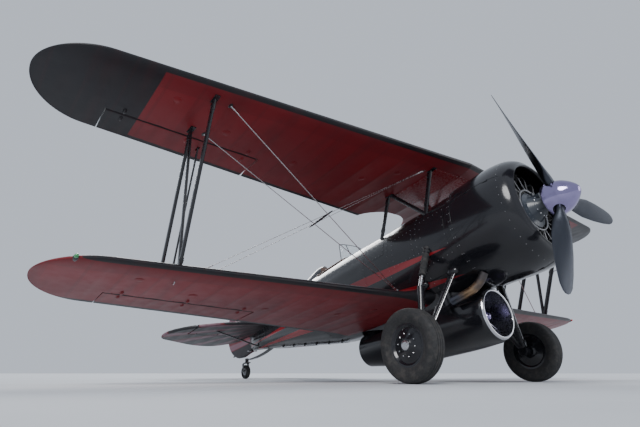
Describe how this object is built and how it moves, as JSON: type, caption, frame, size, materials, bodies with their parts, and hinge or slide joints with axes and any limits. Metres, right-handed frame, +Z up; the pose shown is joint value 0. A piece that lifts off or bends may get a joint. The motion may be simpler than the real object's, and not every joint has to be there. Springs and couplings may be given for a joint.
{
  "type": "aerobatic biplane with radial engine and belly jet",
  "caption": "Staggered wire-braced biplane with a cowled radial engine, three-blade propeller, belly jet nacelle, open cockpit and fixed tailwheel gear.",
  "frame": {"origin": "on the floor, under the middle of the aircraft's length and width, parked on its three wheels", "axes": "+X forward to the nose, +Y to the left wing tip, +Z up; the fuselage is 12 degrees nose up"},
  "size_m": [7.3036, 9.2146, 2.8965],
  "materials": {
    "black_paint": "gloss black",
    "dark_metal": "dark satin",
    "spinner_polish": "polished, with a violet cast",
    "bare_steel": "satin",
    "clear": "clear",
    "hide": "worn",
    "red_fabric": "doped deep red",
    "tail_fabric": "doped black with red rays",
    "strut_paint": "gloss black",
    "wire_steel": "polished",
    "tyre_rubber": "matt",
    "wheel_paint": "gloss black"
  },
  "bodies": {
    "airframe": {"fuselage": "black_paint", "cowling": "black_paint", "radial_engine": "dark_metal", "exhaust_stack": "bare_steel", "jet_nacelle": "black_paint", "jet_engine": "dark_metal", "windscreen": "clear", "pilot_seat": "hide", "fin": "black_paint", "tail_spring": "bare_steel", "upper_wing_left": "red_fabric", "upper_wing_right": "red_fabric", "lower_wing_left": "red_fabric", "lower_wing_right": "red_fabric", "interplane_strut_left": "strut_paint", "interplane_strut_right": "strut_paint", "cabane_strut_left": "strut_paint", "cabane_strut_right": "strut_paint", "flying_wires_left": "wire_steel", "flying_wires_right": "wire_steel", "landing_wires_left": "wire_steel", "landing_wires_right": "wire_steel", "gear_leg_left": "strut_paint", "gear_leg_right": "strut_paint", "stabilizer_left": "tail_fabric", "stabilizer_right": "tail_fabric", "tail_brace_left": "strut_paint", "tail_brace_right": "strut_paint", "tail_wires_left": "wire_steel", "tail_wires_right": "wire_steel"},
    "propeller": {"propeller": "dark_metal", "spinner": "spinner_polish"},
    "wheel_left": {"tyre_left": "tyre_rubber", "wheel_hub_left": "wheel_paint"},
    "wheel_right": {"tyre_right": "tyre_rubber", "wheel_hub_right": "wheel_paint"},
    "tail_fork": {"tail_fork": "bare_steel"},
    "tail_wheel": {"tail_wheel": "tyre_rubber"},
    "rudder": {"rudder": "black_paint"},
    "elevators": {"elevator_left": "tail_fabric", "elevator_right": "tail_fabric", "elevator_tube": "bare_steel"},
    "aileron_upper_left": {"aileron_upper_left": "red_fabric"},
    "aileron_upper_right": {"aileron_upper_right": "red_fabric"},
    "aileron_lower_left": {"aileron_lower_left": "red_fabric"},
    "aileron_lower_right": {"aileron_lower_right": "red_fabric"},
    "aileron_link_left": {"aileron_link_left": "strut_paint"},
    "aileron_link_right": {"aileron_link_right": "strut_paint"}
  },
  "joints": [
    {"name": "propeller_spin", "type": "hinge", "parent": "airframe", "child": "propeller", "pos_m": [3.41078, 0, 1.81385], "axis": [0.9781, 0, 0.2079], "continuous": true},
    {"name": "wheel_left_spin", "type": "hinge", "parent": "airframe", "child": "wheel_left", "pos_m": [2.2839, 1.1, 0.35774], "axis": [0, 1, 0], "continuous": true},
    {"name": "wheel_right_spin", "type": "hinge", "parent": "airframe", "child": "wheel_right", "pos_m": [2.2839, -1.1, 0.35774], "axis": [0, 1, 0], "continuous": true},
    {"name": "tail_fork_swivel", "type": "hinge", "parent": "airframe", "child": "tail_fork", "pos_m": [-2.854, 0, 0.28859], "axis": [-0.2079, 0, 0.9781], "range_deg": [-40, 40]},
    {"name": "tail_wheel_spin", "type": "hinge", "parent": "tail_fork", "child": "tail_wheel", "pos_m": [-2.88535, 0, 0.12346], "axis": [0, 1, 0], "continuous": true},
    {"name": "rudder_turn", "type": "hinge", "parent": "airframe", "child": "rudder", "pos_m": [-2.6684, 0, 0.52168], "axis": [-0.2079, 0, 0.9781], "range_deg": [-28, 28]},
    {"name": "elevator_turn", "type": "hinge", "parent": "airframe", "child": "elevators", "pos_m": [-2.52414, 0, 0.75681], "axis": [0, 1, 0], "range_deg": [-22, 28]},
    {"name": "aileron_upper_left_turn", "type": "hinge", "parent": "airframe", "child": "aileron_upper_left", "pos_m": [1.27062, 2.33, 2.38844], "axis": [-0.0018, 0.9995, 0.0328], "range_deg": [-20, 20]},
    {"name": "aileron_upper_right_turn", "type": "hinge", "parent": "airframe", "child": "aileron_upper_right", "pos_m": [1.27062, -2.33, 2.38844], "axis": [0.0018, 0.9995, -0.0328], "range_deg": [-20, 20]},
    {"name": "aileron_lower_left_turn", "type": "hinge", "parent": "airframe", "child": "aileron_lower_left", "pos_m": [0.77059, 2.01, 0.78914], "axis": [-0.0018, 0.9995, 0.0328], "range_deg": [-20, 20]},
    {"name": "aileron_lower_right_turn", "type": "hinge", "parent": "airframe", "child": "aileron_lower_right", "pos_m": [0.77059, -2.01, 0.78914], "axis": [0.0018, 0.9995, -0.0328], "range_deg": [-20, 20]},
    {"name": "aileron_link_left_pivot", "type": "hinge", "parent": "aileron_upper_left", "child": "aileron_link_left", "pos_m": [1.15695, 2.98, 2.38586], "axis": [-0.0018, 0.9995, 0.0328], "range_deg": [-20, 20]},
    {"name": "aileron_link_right_pivot", "type": "hinge", "parent": "aileron_upper_right", "child": "aileron_link_right", "pos_m": [1.15695, -2.98, 2.38586], "axis": [0.0018, 0.9995, -0.0328], "range_deg": [-20, 20]}
  ],
  "couplings": [
    {"joint": "aileron_upper_right_turn", "follows": "aileron_upper_left_turn", "ratio": -1},
    {"joint": "aileron_lower_left_turn", "follows": "aileron_upper_left_turn", "ratio": 1},
    {"joint": "aileron_lower_right_turn", "follows": "aileron_upper_left_turn", "ratio": -1},
    {"joint": "aileron_link_left_pivot", "follows": "aileron_upper_left_turn", "ratio": -1},
    {"joint": "aileron_link_right_pivot", "follows": "aileron_upper_left_turn", "ratio": 1}
  ]
}
